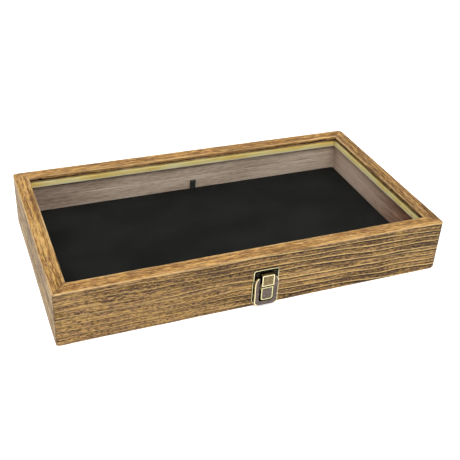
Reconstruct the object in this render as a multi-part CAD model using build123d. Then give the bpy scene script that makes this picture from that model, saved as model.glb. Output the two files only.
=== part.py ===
from build123d import *
import os

# Tabletop display case: a shallow wooden case with a hinged, glazed lid, a padded
# floor and a draw latch at the front. Millimetres, +Z up. The origin is the middle
# of the case's bottom face; the latch is on the -Y face, the hinges on the +Y face.

# ---- driving dimensions of the wooden case
WIDTH = 375.0
DEPTH = 210.0
HEIGHT = 54.0
SEAM_Z = 27.0
SEAM_GAP = 0.3
WALL = 9.5
CORNER_RADIUS = 2.0
TOP_EDGE_RADIUS = 1.0

# ---- bottom panel, let into a rebate round the walls
PANEL_THICKNESS = 3.0
REBATE_INSET = 4.5
PANEL_CLEARANCE = 0.15
PANEL_BRAD_INSET = 7.0
PANEL_BRAD_LENGTH = 8.0

# ---- lid: a lip over the glass, and beads that hold the glass up against it
LIP_WIDTH = 14.0
LIP_THICKNESS = 4.0
GLASS_THICKNESS = 3.0
GLASS_INSET = 10.0
BEAD_WIDTH = 4.0
BEAD_HEIGHT = 5.2
BEAD_BRAD_LENGTH = 9.0

# ---- pad: a board and foam wrapped in a velvet cover, lifted by a ribbon tab
PAD_SIDE_GAP = 0.8
PAD_END_GAP = 1.5
PAD_FLOOR_GAP = 0.05
PAD_TOP_Z = 13.5
BOARD_THICKNESS = 3.0
COVER_THICKNESS = 0.6
TAB_X = 2.0
TAB_WIDTH = 7.0
TAB_TOP_Z = 22.8
TAB_THICKNESS = 1.0
RIBBON_THICKNESS = 0.35

# ---- draw latch, measured outwards from the front face
LATCH_X = 2.2
BASE_WIDTH = 26.0
STRIKE_WIDTH = 24.8
PLATE_THICKNESS = 0.8
BASE_BOTTOM_Z = 1.8
BASE_TOP_Z = 26.6
BASE_CORNER_RADIUS = 5.5
CHEEK_INNER_X = 7.1
CHEEK_OUTER_X = 11.5
CHEEK_HEIGHT = 3.8
CHEEK_TOP_Z = 32.0
CHEEK_SHEET = 0.8
CHEEK_SHOULDER_RADIUS = 3.6
CHEEK_FOOT_RADIUS = 4.0
SILL_TOP_Z = 6.2
SILL_CORNER_RADIUS = 2.5
STRIKE_BOTTOM_Z = 27.6
STRIKE_TOP_Z = 39.0
STRIKE_CORNER_RADIUS = 2.6
CATCH_WIDTH = 7.0
CATCH_BOTTOM_Z = 32.7
CATCH_TOP_Z = 34.1
CATCH_REACH = 3.8
LEVER_PIVOT = (2.7, 22.8)
LINK_PIVOT = (2.1, 19.4)
LEVER_HALF_WIDTH = 5.8
LEVER_CORNER_RADIUS = 2.4
LEVER_BOTTOM_Z = 8.5
LEVER_TOP_Z = 21.8
LEVER_FACE = 4.3
LEVER_SHEET = 0.8
LINK_HALF_WIDTH = 6.1
LINK_ARM_INNER = 6.0
LINK_ARM_OUTER = 6.8
LINK_BOTTOM_Z = 24.0
LINK_TOP_Z = 35.3
LINK_SHEET = 0.9
LEVER_PIN_RADIUS = 0.7
LINK_PIN_RADIUS = 0.6

# ---- butt hinges on the back face
HINGE_XS = {"left": -120.0, "right": 120.0}
HINGE_LENGTH = 25.0
LEAF_HEIGHT = 10.5
LEAF_THICKNESS = 1.0
BARREL_RADIUS = 1.8
BARREL_STAND_OFF = 1.9
MIDDLE_BARREL = 8.4
BARREL_GAP = 0.3
HINGE_PIN_RADIUS = 0.8
HINGE_SCREW_X = 8.0
HINGE_SCREW_OFFSET = 6.6

# ---- fasteners
SCREW_RADIUS = 1.2
SCREW_HEAD_RADIUS = 2.1
SCREW_HEAD_HEIGHT = 0.8
SCREW_LENGTH = 8.0
BRAD_RADIUS = 0.5
FIT = 0.05

half_width, half_depth = WIDTH / 2, DEPTH / 2
glass_top = HEIGHT - LIP_THICKNESS
glass_bottom = glass_top - GLASS_THICKNESS
bead_bottom = glass_bottom - BEAD_HEIGHT
lid_bottom = SEAM_Z + SEAM_GAP / 2
case_top = SEAM_Z - SEAM_GAP / 2
hinge_axis_y = half_depth + BARREL_STAND_OFF


# ---- shapes that everything is made of

def block(x, y, z):
    """A box between the two values given along each axis."""
    low = Vector(x[0], y[0], z[0])
    size = Vector(x[1], y[1], z[1]) - low
    corner = (Align.MIN, Align.MIN, Align.MIN)
    return Pos(low.X, low.Y, low.Z) * Box(size.X, size.Y, size.Z, align=corner)


def inset_block(inset, z):
    """A box of the case's plan, drawn in by the same inset on all four sides."""
    x, y = half_width - inset, half_depth - inset
    return block((-x, x), (-y, y), z)


def front_block(x, out, z):
    """A box on the front face, with `out` measured outwards from that face."""
    return block(x, (-half_depth - out[1], -half_depth - out[0]), z)


def rod_x(radius, x, y, z):
    """A round rod along X."""
    return Pos(x[0], y, z) * Rot(0, 90, 0) * Cylinder(
        radius, x[1] - x[0], align=(Align.CENTER, Align.CENTER, Align.MIN))


def rod_y(radius, x, y, z):
    """A round rod along Y."""
    return Pos(x, y[0], z) * Rot(-90, 0, 0) * Cylinder(
        radius, y[1] - y[0], align=(Align.CENTER, Align.CENTER, Align.MIN))


def side_plate(points, x):
    """A plate across X from an outline of (outwards, height) points on the front face."""
    outline = Polyline([(x[0], -half_depth - out, z) for out, z in points], close=True)
    return extrude(make_face(outline), amount=x[1] - x[0], dir=(1, 0, 0))


def both_sides(make):
    """A shape for +X and its mirror image."""
    return make + mirror(make, about=Plane.YZ)


def at_latch(shape):
    """Move a shape drawn about X = 0 to where the latch stands."""
    return Pos(LATCH_X, 0, 0) * shape


# ---- fasteners

def screw(x, face_y, z, outwards):
    """A slotted screw with a round head on a face that looks along +Y or -Y."""
    inner, outer = face_y - outwards * SCREW_LENGTH, face_y + outwards * SCREW_HEAD_HEIGHT
    shank = rod_y(SCREW_RADIUS, x, sorted((inner, face_y)), z)
    head = rod_y(SCREW_HEAD_RADIUS, x, sorted((face_y, outer)), z)
    rim = head.edges().filter_by(GeomType.CIRCLE).sort_by(Axis.Y)[-1 if outwards > 0 else 0]
    head = fillet(rim, SCREW_HEAD_HEIGHT * 0.6)
    slot_half, slot_depth = 0.25, 0.4
    slot_y = sorted((outer - outwards * slot_depth, outer + outwards))
    slot = block((x - SCREW_HEAD_RADIUS, x + SCREW_HEAD_RADIUS), slot_y, (z - slot_half, z + slot_half))
    return shank + (head - slot)


def screw_hole(x, face_y, z, outwards, depth=SCREW_LENGTH + FIT):
    """The clearance hole for one screw's shank, from its head's seat inwards."""
    inner = face_y - outwards * depth
    return rod_y(SCREW_RADIUS + FIT, x, sorted((inner, face_y + outwards * FIT)), z)


strike_screw_points = [(LATCH_X + side * 8.3, 34.8) for side in (-1, 1)]
base_screw_points = [(LATCH_X, z) for z in (10.8, 15.6)]
hinge_screw_xs = [x + side * HINGE_SCREW_X for x in HINGE_XS.values() for side in (-1, 1)]
hinge_lid_screw_z = SEAM_Z + HINGE_SCREW_OFFSET
hinge_case_screw_z = SEAM_Z - HINGE_SCREW_OFFSET
latch_plate_y = -half_depth - PLATE_THICKNESS
leaf_y = half_depth + LEAF_THICKNESS


def strike_screws():
    return [screw(x, latch_plate_y, z, -1) for x, z in strike_screw_points]


def base_screws():
    return [screw(x, latch_plate_y, z, -1) for x, z in base_screw_points]


def hinge_screws(z):
    return [screw(x, leaf_y, z, 1) for x in hinge_screw_xs]


def front_screw_holes(points):
    return [screw_hole(x, latch_plate_y, z, -1, SCREW_LENGTH + 0.5) for x, z in points]


def back_screw_holes(z):
    return [screw_hole(x, leaf_y, z, 1, SCREW_LENGTH + 0.5) for x in hinge_screw_xs]


def panel_brad_points():
    """Where the bottom panel is nailed up into the walls."""
    x_edge, y_edge = half_width - PANEL_BRAD_INSET, half_depth - PANEL_BRAD_INSET
    long_sides = [(x, side * y_edge) for x in (-150, -50, 50, 150) for side in (-1, 1)]
    short_sides = [(side * x_edge, y) for y in (-55, 55) for side in (-1, 1)]
    return long_sides + short_sides


def panel_brads(radius, low, high):
    upright = (Align.CENTER, Align.CENTER, Align.MIN)
    return [Pos(x, y, low) * Cylinder(radius, high - low, align=upright) for x, y in panel_brad_points()]


def bead_brads(radius, head_inset, length):
    """Small nails through the glass beads, level, out into the lid's rails."""
    z = bead_bottom + BEAD_HEIGHT / 2
    nails = []
    for x in (-140, -48, 48, 140):
        for side in (-1, 1):
            ends = sorted((side * (half_depth - head_inset), side * (half_depth - head_inset + length)))
            nails.append(rod_y(radius, x, ends, z))
    for y in (-50, 50):
        for side in (-1, 1):
            ends = sorted((side * (half_width - head_inset), side * (half_width - head_inset + length)))
            nails.append(rod_x(radius, ends, y, z))
    return nails


# ---- woodwork: rings of four pieces, mitred at 45 degrees in the corners

def eased_envelope():
    """The closed case's outside, with its upright corners and top edges eased."""
    body = inset_block(0, (0, HEIGHT))
    body = fillet(body.edges().filter_by(Axis.Z), CORNER_RADIUS)
    return fillet(body.faces().sort_by(Axis.Z)[-1].edges(), TOP_EDGE_RADIUS)


def quarter(side):
    """The part of the plan that one side's mitred piece fills."""
    x, y, reach = half_width, half_depth, half_width - half_depth
    outlines = {
        "front": [(-x, -y), (x, -y), (reach, 0), (-reach, 0)],
        "back": [(-x, y), (-reach, 0), (reach, 0), (x, y)],
        "left": [(-x, -y), (-reach, 0), (-x, y)],
        "right": [(x, -y), (x, y), (reach, 0)],
    }
    plan = make_face(Polyline([(px, py, 0) for px, py in outlines[side]], close=True))
    return extrude(plan, amount=HEIGHT, dir=(0, 0, 1))


def case_ring(envelope):
    ring = envelope & inset_block(0, (0, case_top))
    ring -= inset_block(WALL, (0, case_top))
    ring -= inset_block(REBATE_INSET, (0, PANEL_THICKNESS))
    ring -= panel_brads(BRAD_RADIUS + FIT, 0, PANEL_BRAD_LENGTH + 0.5)
    ring -= front_screw_holes(base_screw_points)
    ring -= back_screw_holes(hinge_case_screw_z)
    return ring


def lid_ring(envelope):
    ring = envelope & inset_block(0, (lid_bottom, HEIGHT))
    ring -= inset_block(WALL, (lid_bottom, glass_top))
    ring -= inset_block(LIP_WIDTH, (glass_top, HEIGHT))
    ring -= bead_brads(BRAD_RADIUS + FIT, WALL, BEAD_BRAD_LENGTH - BEAD_WIDTH + 0.5)
    ring -= front_screw_holes(strike_screw_points)
    ring -= back_screw_holes(hinge_lid_screw_z)
    return ring


def bead_ring():
    ring = inset_block(WALL, (bead_bottom, glass_bottom))
    ring -= inset_block(WALL + BEAD_WIDTH, (bead_bottom, glass_bottom))
    return ring - bead_brads(BRAD_RADIUS + FIT, WALL + BEAD_WIDTH, BEAD_WIDTH)


def bottom_panel():
    panel = inset_block(REBATE_INSET + PANEL_CLEARANCE, (0, PANEL_THICKNESS))
    return panel - panel_brads(BRAD_RADIUS + FIT, 0, PANEL_THICKNESS)


def glass_pane():
    return inset_block(GLASS_INSET, (glass_bottom, glass_top))


# ---- pad

def pad_block(shrink, z):
    x = half_width - WALL - PAD_SIDE_GAP - shrink
    y = half_depth - WALL - PAD_END_GAP - shrink
    return block((-x, x), (-y, y), z)


pad_floor = PANEL_THICKNESS + PAD_FLOOR_GAP
board_top = pad_floor + BOARD_THICKNESS
foam_top = PAD_TOP_Z - COVER_THICKNESS


def pad_cover():
    cover = pad_block(0, (pad_floor, PAD_TOP_Z)) - pad_block(COVER_THICKNESS, (pad_floor, foam_top))
    return fillet(cover.faces().sort_by(Axis.Z)[-1].edges(), 1.0)


def pull_tab():
    """A ribbon folded into a loop, standing up behind the pad's back edge."""
    y0 = half_depth - WALL - PAD_END_GAP + FIT
    x = (TAB_X - TAB_WIDTH / 2, TAB_X + TAB_WIDTH / 2)
    loop = block(x, (y0, y0 + TAB_THICKNESS), (pad_floor, TAB_TOP_Z))
    loop = fillet(loop.edges().filter_by(Axis.X).sort_by(Axis.Z)[-2:], TAB_THICKNESS * 0.45)
    gap = (y0 + RIBBON_THICKNESS, y0 + TAB_THICKNESS - RIBBON_THICKNESS)
    return loop - block(x, gap, (PAD_TOP_Z, TAB_TOP_Z - RIBBON_THICKNESS))


# ---- draw latch: a base with two raised cheeks, a lever, a link and a strike plate

def rounded_plate(width, z, radius, corners_at_top):
    """A thin plate on the front face, rounded at its two upper or lower corners."""
    plate = front_block((-width / 2, width / 2), (0, PLATE_THICKNESS), z)
    corners = plate.edges().filter_by(Axis.Y).sort_by(Axis.Z)
    return fillet(corners[-2:] if corners_at_top else corners[:2], radius)


def raised_surround():
    """Two hollow raised cheeks joined by a sill below the lever, in one U."""
    x = (-CHEEK_OUTER_X, CHEEK_OUTER_X)
    shell = front_block(x, (0, CHEEK_HEIGHT), (BASE_BOTTOM_Z, CHEEK_TOP_Z))
    corners = shell.edges().filter_by(Axis.Y).sort_by(Axis.Z)
    shell = fillet(corners[:2], CHEEK_FOOT_RADIUS)
    corners = shell.edges().filter_by(Axis.Y).filter_by(GeomType.LINE).sort_by(Axis.Z)
    shell = fillet(corners[-2:], CHEEK_SHOULDER_RADIUS)
    channel_x = (-CHEEK_INNER_X, CHEEK_INNER_X)
    channel = front_block(channel_x, (0, CHEEK_HEIGHT), (SILL_TOP_Z, CHEEK_TOP_Z))
    corners = channel.edges().filter_by(Axis.Y).sort_by(Axis.Z)
    shell -= fillet(corners[:2], SILL_CORNER_RADIUS)
    hollow_x = (CHEEK_INNER_X + CHEEK_SHEET, CHEEK_OUTER_X - CHEEK_SHEET)
    hollow_z = (SILL_TOP_Z, CHEEK_TOP_Z - CHEEK_SHOULDER_RADIUS)
    shell -= both_sides(front_block(hollow_x, (0, CHEEK_HEIGHT - CHEEK_SHEET), hollow_z))
    lid_room = (BASE_TOP_Z, CHEEK_TOP_Z)
    return shell - front_block(x, (0, PLATE_THICKNESS + 0.4), lid_room)


def latch_base():
    z = (BASE_BOTTOM_Z, BASE_TOP_Z)
    base = rounded_plate(BASE_WIDTH, z, BASE_CORNER_RADIUS, False)
    base += raised_surround()
    out, z = LEVER_PIVOT
    bore = (-CHEEK_OUTER_X, CHEEK_OUTER_X)
    base -= rod_x(LEVER_PIN_RADIUS + FIT, bore, -half_depth - out, z)
    base = at_latch(base)
    return base - front_screw_holes(base_screw_points)


def lever_pin():
    out, z = LEVER_PIVOT
    half = CHEEK_OUTER_X - 0.2
    return at_latch(rod_x(LEVER_PIN_RADIUS, (-half, half), -half_depth - out, z))


def link_pin():
    out, z = LINK_PIVOT
    half = LINK_ARM_OUTER + 0.2
    return at_latch(rod_x(LINK_PIN_RADIUS, (-half, half), -half_depth - out, z))


def latch_lever():
    """The lever's face plate with side flanges that carry both pins."""
    face = (LEVER_FACE, LEVER_FACE + LEVER_SHEET)
    x = (-LEVER_HALF_WIDTH, LEVER_HALF_WIDTH)
    plate = front_block(x, face, (LEVER_BOTTOM_Z, LEVER_TOP_Z))
    corners = plate.edges().filter_by(Axis.Y).sort_by(Axis.Z)[:2]
    plate = fillet(corners, LEVER_CORNER_RADIUS)
    ear = side_plate(
        [(1.6, 24.0), (3.7, 24.0), (4.3, 21.8), (face[1], LEVER_TOP_Z), (face[1], 12.0),
         (4.0, 12.0), (3.2, 16.2), (2.4, 18.0), (1.1, 18.4), (1.1, 20.2), (1.5, 21.5)],
        (LEVER_HALF_WIDTH - LEVER_SHEET, LEVER_HALF_WIDTH))
    lever = plate + both_sides(ear)
    lever -= rod_x(LEVER_PIN_RADIUS + FIT, x, -half_depth - LEVER_PIVOT[0], LEVER_PIVOT[1])
    lever -= rod_x(LINK_PIN_RADIUS + FIT, x, -half_depth - LINK_PIVOT[0], LINK_PIVOT[1])
    return at_latch(lever)


def latch_link():
    """The hooked link: arms outside the lever, a face plate, and a flange over the catch."""
    face = (LEVER_FACE, LEVER_FACE + LINK_SHEET)
    x = (-LINK_HALF_WIDTH, LINK_HALF_WIDTH)
    plate = front_block(x, face, (LINK_BOTTOM_Z, LINK_TOP_Z))
    hook = front_block(x, (1.3, face[0]), (LINK_TOP_Z - 1.0, LINK_TOP_Z))
    arm = side_plate(
        [(1.1, 18.5), (2.9, 18.3), (face[1], 20.6), (face[1], 26.5), (3.6, 26.5),
         (3.6, 21.0), (3.0, 20.5), (1.1, 20.3)], (LINK_ARM_INNER, LINK_ARM_OUTER))
    link = plate + hook + both_sides(arm)
    bore = (-LINK_ARM_OUTER, LINK_ARM_OUTER)
    link -= rod_x(LINK_PIN_RADIUS + FIT, bore, -half_depth - LINK_PIVOT[0], LINK_PIVOT[1])
    return at_latch(link)


def strike_plate():
    z = (STRIKE_BOTTOM_Z, STRIKE_TOP_Z)
    plate = rounded_plate(STRIKE_WIDTH, z, STRIKE_CORNER_RADIUS, True)
    catch_x = (-CATCH_WIDTH / 2, CATCH_WIDTH / 2)
    plate += front_block(catch_x, (0, CATCH_REACH), (CATCH_BOTTOM_Z, CATCH_TOP_Z))
    return at_latch(plate) - front_screw_holes(strike_screw_points)


# ---- hinges: the case leaf carries the outer barrels and the pin, the lid leaf the middle one

def barrel(x):
    return rod_x(BARREL_RADIUS, x, hinge_axis_y, SEAM_Z)


def hinge_leaf(hinge_x, upper):
    """One leaf with its own barrels, cut clear of the other leaf's barrels."""
    sign = 1 if upper else -1
    z = sorted((SEAM_Z + sign * BARREL_GAP, SEAM_Z + sign * LEAF_HEIGHT))
    half, middle = HINGE_LENGTH / 2, MIDDLE_BARREL / 2
    leaf = block((-half, half), (half_depth, leaf_y), z)
    inner, outer = (-middle, middle), [(-half, -middle - BARREL_GAP), (middle + BARREL_GAP, half)]
    own, others = ([inner], outer) if upper else (outer, [inner])
    spread = BARREL_GAP
    for x in others:
        leaf -= rod_x(BARREL_RADIUS + 0.2, (x[0] - spread, x[1] + spread), hinge_axis_y, SEAM_Z)
    for x in own:
        leaf += barrel(x)
    leaf -= rod_x(HINGE_PIN_RADIUS + FIT, (-half, half), hinge_axis_y, SEAM_Z)
    leaf = Pos(hinge_x, 0, 0) * leaf
    return leaf - back_screw_holes(hinge_lid_screw_z if upper else hinge_case_screw_z)


def hinge_pin(hinge_x):
    half = HINGE_LENGTH / 2 + 0.4
    return rod_x(HINGE_PIN_RADIUS, (hinge_x - half, hinge_x + half), hinge_axis_y, SEAM_Z)


# ---- every sub-part by the name of its node

def make_parts():
    envelope = eased_envelope()
    case, lid, beads = case_ring(envelope), lid_ring(envelope), bead_ring()
    parts = {}
    for side in ("front", "back", "left", "right"):
        parts[f"case_{side}_wall"] = case & quarter(side)
        parts[f"lid_{side}_rail"] = lid & quarter(side)
        parts[f"glass_bead_{side}"] = beads & quarter(side)
    parts["case_bottom_panel"] = bottom_panel()
    parts["bottom_panel_brads"] = panel_brads(BRAD_RADIUS, 0.2, PANEL_BRAD_LENGTH)
    parts["lid_glass"] = glass_pane()
    parts["bead_brads"] = bead_brads(BRAD_RADIUS, WALL + BEAD_WIDTH, BEAD_BRAD_LENGTH)
    parts["pad_board"] = pad_block(COVER_THICKNESS + FIT, (pad_floor, board_top))
    parts["pad_foam"] = pad_block(COVER_THICKNESS + FIT, (board_top, foam_top - FIT))
    parts["pad_cover"] = pad_cover()
    parts["pad_pull_tab"] = pull_tab()
    parts["strike_plate"] = strike_plate()
    parts["strike_screws"] = strike_screws()
    parts["latch_base"] = latch_base()
    parts["latch_base_screws"] = base_screws()
    parts["latch_pivot_pin"] = lever_pin()
    parts["latch_lever"] = latch_lever()
    parts["latch_link_pin"] = link_pin()
    parts["latch_link"] = latch_link()
    for side, x in HINGE_XS.items():
        parts[f"hinge_{side}_lid_leaf"] = hinge_leaf(x, True)
        parts[f"hinge_{side}_case_leaf"] = hinge_leaf(x, False)
        parts[f"hinge_{side}_pin"] = hinge_pin(x)
    parts["hinge_lid_screws"] = hinge_screws(hinge_lid_screw_z)
    parts["hinge_case_screws"] = hinge_screws(hinge_case_screw_z)
    return parts


os.makedirs("parts", exist_ok=True)
for node, shape in make_parts().items():
    pieces = shape if isinstance(shape, list) else [shape]
    solids = [solid for piece in pieces for solid in piece.solids()]
    export_step(Compound(solids), f"parts/{node}.step")
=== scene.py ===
import math

import bmesh
import bpy
import numpy as np
from mathutils import Matrix, Vector


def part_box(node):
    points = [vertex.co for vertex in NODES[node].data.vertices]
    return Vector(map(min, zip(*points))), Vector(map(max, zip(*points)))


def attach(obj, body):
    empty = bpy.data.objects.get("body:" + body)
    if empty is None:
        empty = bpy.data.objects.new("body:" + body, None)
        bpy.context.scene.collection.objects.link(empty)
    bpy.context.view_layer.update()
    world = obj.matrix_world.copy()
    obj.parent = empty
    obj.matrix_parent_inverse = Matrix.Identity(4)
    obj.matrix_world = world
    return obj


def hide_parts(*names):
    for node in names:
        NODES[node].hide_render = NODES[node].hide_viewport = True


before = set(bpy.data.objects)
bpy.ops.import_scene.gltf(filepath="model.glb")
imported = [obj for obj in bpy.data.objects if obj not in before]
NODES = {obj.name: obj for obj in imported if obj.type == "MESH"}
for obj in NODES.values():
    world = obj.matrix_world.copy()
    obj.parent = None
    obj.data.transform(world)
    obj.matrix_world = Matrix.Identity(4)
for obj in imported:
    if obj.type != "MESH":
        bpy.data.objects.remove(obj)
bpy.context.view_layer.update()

# The looks of a glass-topped wooden display case. Metres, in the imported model's frame:
# +X along the length, -Y towards the latch, +Z up, the origin under the middle of the case.

MM = 0.001

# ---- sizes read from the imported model
SIDES = ("front", "right", "back", "left")
lid_low, lid_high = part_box("lid_front_rail")
case_low, case_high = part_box("case_front_wall")
bead_low, bead_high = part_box("glass_bead_front")
glass_low, glass_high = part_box("lid_glass")
panel_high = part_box("case_bottom_panel")[1]
HALF_X = -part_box("case_left_wall")[0].x
HALF_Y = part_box("case_back_wall")[1].y
TOP_Z, LID_Z, CASE_Z = lid_high.z, lid_low.z, case_high.z
WALL = case_high.y - case_low.y
LIP = lid_high.y - lid_low.y
GLASS_TOP, GLASS_BOTTOM = glass_high.z, glass_low.z
BEAD_BOTTOM = bead_low.z
BEAD = bead_high.y - bead_low.y
PANEL_TOP = panel_high.z
PANEL_INSET = HALF_X - panel_high.x
CORNER_RADIUS = 2.2 * MM
MITRE_GAP = 0.06 * MM


# ---- numbers for uneven surfaces

def smooth_noise(seed, along, across, cell_along, cell_across):
    """A smooth random field of about -1 to 1, in cells of the given size."""
    along, across = np.broadcast_arrays(along, across)
    a = (along - along.min()) / cell_along
    b = (across - across.min()) / cell_across
    lattice = np.random.default_rng(seed).uniform(-1, 1, (int(a.max()) + 3, int(b.max()) + 3))
    ia, ib = a.astype(int), b.astype(int)
    fa, fb = a - ia, b - ib
    fa, fb = fa * fa * (3 - 2 * fa), fb * fb * (3 - 2 * fb)
    low = lattice[ia, ib] * (1 - fa) + lattice[ia + 1, ib] * fa
    high = lattice[ia, ib + 1] * (1 - fa) + lattice[ia + 1, ib + 1] * fa
    return low * (1 - fb) + high * fb


def bump_at(value, centre, width):
    """1 at the centre, falling smoothly to 0 a few widths away."""
    return np.exp(-((value - centre) / width) ** 2)


# ---- mesh helpers

METAL_CREASE, CLOTH_CREASE = 32.0, 50.0


def new_piece(name, verts, faces, body, replaces=(), smooth_angle=35.0):
    mesh = bpy.data.meshes.new(name)
    mesh.from_pydata([tuple(map(float, v)) for v in verts], [], faces)
    piece = bpy.data.objects.new(name, mesh)
    bpy.context.scene.collection.objects.link(piece)
    tidy_normals(piece)
    shade_by_angle(piece, smooth_angle)
    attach(piece, body)
    if replaces:
        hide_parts(*replaces)
    return piece


def tidy_normals(piece):
    bm = bmesh.new()
    bm.from_mesh(piece.data)
    bmesh.ops.recalc_face_normals(bm, faces=bm.faces)
    bm.to_mesh(piece.data)
    bm.free()


def shade_by_angle(piece, degrees):
    piece.data.polygons.foreach_set("use_smooth", [True] * len(piece.data.polygons))
    piece.data.set_sharp_from_angle(angle=math.radians(degrees))


def point_attribute(piece, name, values, kind="FLOAT"):
    layer = piece.data.attributes.new(name, kind, "POINT")
    layer.data.foreach_set("vector" if kind == "FLOAT_VECTOR" else "value", np.ravel(values))


def join(parts):
    """One (verts, faces) mesh from several."""
    verts, faces = [], []
    for part_verts, part_faces in parts:
        start = len(verts)
        verts += [tuple(v) for v in part_verts]
        faces += [tuple(i + start for i in face) for face in part_faces]
    return verts, faces


# ---- node graphs

class Graph:
    """A material's node tree, built one node at a time."""

    def __init__(self, name):
        self.material = bpy.data.materials.new(name)
        self.material.use_nodes = True
        self.tree = self.material.node_tree
        self.shader = self.tree.nodes["Principled BSDF"]
        self.output = self.tree.nodes["Material Output"]

    def node(self, kind, inputs=None, **settings):
        node = self.tree.nodes.new(kind)
        for key, value in settings.items():
            setattr(node, key, value)
        for key, value in (inputs or {}).items():
            self.feed(node.inputs[key], value)
        return node

    def feed(self, socket, value):
        if isinstance(value, bpy.types.NodeSocket):
            self.tree.links.new(value, socket)
        else:
            socket.default_value = value

    def attribute(self, name, output="Fac"):
        return self.node("ShaderNodeAttribute", attribute_name=name).outputs[output]

    def place(self):
        """The point's place in its own piece, in metres."""
        return self.node("ShaderNodeTexCoord").outputs["Object"]

    def split(self, vector):
        return self.node("ShaderNodeSeparateXYZ", {"Vector": vector}).outputs

    def noise(self, vector, scale, offset=(0, 0, 0), detail=2.0, roughness=0.5):
        """Noise of 0 to 1 that is as fine along each axis as the scale says."""
        inputs = {"Vector": vector, "Scale": scale, "Location": offset}
        vector = self.node("ShaderNodeMapping", inputs).outputs[0]
        return self.node("ShaderNodeTexNoise", {"Vector": vector, "Scale": 1.0, "Detail": detail,
                                                "Roughness": roughness}).outputs["Fac"]

    def math(self, operation, a, b=0.0):
        return self.node("ShaderNodeMath", {0: a, 1: b}, operation=operation).outputs[0]

    def times(self, a, b):
        return self.math("MULTIPLY", a, b)

    def weighted(self, *pairs):
        """The sum of each value times its weight."""
        total = None
        for value, weight in pairs:
            part = self.times(value, weight)
            total = part if total is None else self.math("ADD", total, part)
        return total

    def span(self, value, low, high, to_low=0.0, to_high=1.0):
        """The value mapped from low..high to to_low..to_high, smoothly and clamped."""
        node = self.node("ShaderNodeMapRange", {"Value": value, "From Min": low, "From Max": high,
                                                "To Min": to_low, "To Max": to_high},
                         interpolation_type="SMOOTHSTEP")
        return node.outputs[0]

    def mix(self, factor, a, b):
        node = self.node("ShaderNodeMix", data_type="RGBA")
        for key, value in (("Factor_Float", factor), ("A_Color", a), ("B_Color", b)):
            socket = next(s for s in node.inputs if s.identifier == key)
            self.feed(socket, value)
        return next(s for s in node.outputs if s.identifier == "Result_Color")

    def ramp(self, factor, stops):
        node = self.node("ShaderNodeValToRGB", {"Fac": factor})
        elements = node.color_ramp.elements
        while len(elements) < len(stops):
            elements.new(0.5)
        for element, (place, colour) in zip(elements, stops):
            element.position = place
            element.color = colour
        return node.outputs["Color"]

    def bump(self, height, distance, strength):
        inputs = {"Height": height, "Distance": distance, "Strength": strength}
        return self.node("ShaderNodeBump", inputs).outputs[0]

    def finish(self, **inputs):
        for key, value in inputs.items():
            self.feed(self.shader.inputs[key.replace("_", " ")], value)
        return self.material


def rgb(red, green, blue):
    """A linear colour from the usual 0 to 255 screen values."""
    def linear(value):
        value /= 255
        return value / 12.92 if value <= 0.04045 else ((value + 0.055) / 1.055) ** 2.4
    return (linear(red), linear(green), linear(blue), 1.0)


def darker(colour, share):
    return tuple(share * c for c in colour[:3]) + (1,)


# ---- outlines

def square_outline(corners, spacing):
    """Points round a closed outline of right-angled corners (inset, height, radius), clockwise.

    Returns the points, their outward normals, and each corner's distance round the outline."""
    corners = [(np.array([inset, z]), radius) for inset, z, radius in corners]
    count, arc_steps = len(corners), 4
    points = []
    for i, (place, radius) in enumerate(corners):
        before, after = corners[i - 1][0], corners[(i + 1) % count][0]
        arriving = (place - before) / np.linalg.norm(place - before)
        leaving = (after - place) / np.linalg.norm(after - place)
        if radius > 0:
            centre = place - arriving * radius + leaving * radius
            for step in range(arc_steps + 1):
                turn = math.pi / 2 * step / arc_steps
                points.append(centre - leaving * radius * math.cos(turn) + arriving * radius * math.sin(turn))
        else:
            points.append(place)
        end = after - leaving * corners[(i + 1) % count][1]
        steps = max(1, int(np.linalg.norm(end - points[-1]) / spacing))
        start = points[-1]
        points += [start + (end - start) * k / steps for k in range(1, steps)]
    points = np.array(points)
    ahead, behind = np.roll(points, -1, 0), np.roll(points, 1, 0)
    tangent = ahead - behind
    tangent /= np.linalg.norm(tangent, axis=1)[:, None]
    normals = np.stack([-tangent[:, 1], tangent[:, 0]], 1)
    lengths = np.linalg.norm(ahead - points, axis=1)
    return points, normals, np.concatenate([[0], np.cumsum(lengths[:-1])])


# ---- mitred wooden pieces

OUTWARD = {"front": (0, -1), "right": (1, 0), "back": (0, 1), "left": (-1, 0)}
ALONG = {"front": (1, 0), "right": (0, 1), "back": (-1, 0), "left": (0, -1)}
STATION = 1.5 * MM
RAGGED_CORNER = 3  # of the lid rails' outline: the lip's edge on the glass


def eased_corner(x, y, radius):
    """Plan points pulled in to a rounded upright corner."""
    dx, dy = radius - (HALF_X - np.abs(x)), radius - (HALF_Y - np.abs(y))
    reach = np.hypot(dx, dy)
    pulled = (dx > 0) & (dy > 0) & (reach > radius)
    share = np.where(pulled, radius / np.maximum(reach, 1e-9), 1.0)
    new_x = np.sign(x) * (HALF_X - radius + dx * share)
    new_y = np.sign(y) * (HALF_Y - radius + dy * share)
    return np.where(pulled, new_x, x), np.where(pulled, new_y, y)


def rubbed_down(x, y, z):
    """How far points rise at the outer corners' feet and sink at their tops, where they are worn.

    The front right foot is worn the most."""
    reach, band = 4.6 * MM, 2 * MM
    under_worst, under_others, over_top = 2.6, 0.7, 1.1
    from_corner = np.hypot(HALF_X - np.abs(x), HALF_Y - np.abs(y))
    worn = np.clip(1 - from_corner / reach, 0, 1) ** 2
    raised = np.where((x > 0) & (y < 0), under_worst, under_others) * np.clip(1.5 - z / band, 0, 1)
    lowered = over_top * np.clip((z - TOP_Z) / band + 1.5, 0, 1)
    return worn * (raised - lowered) * MM


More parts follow.
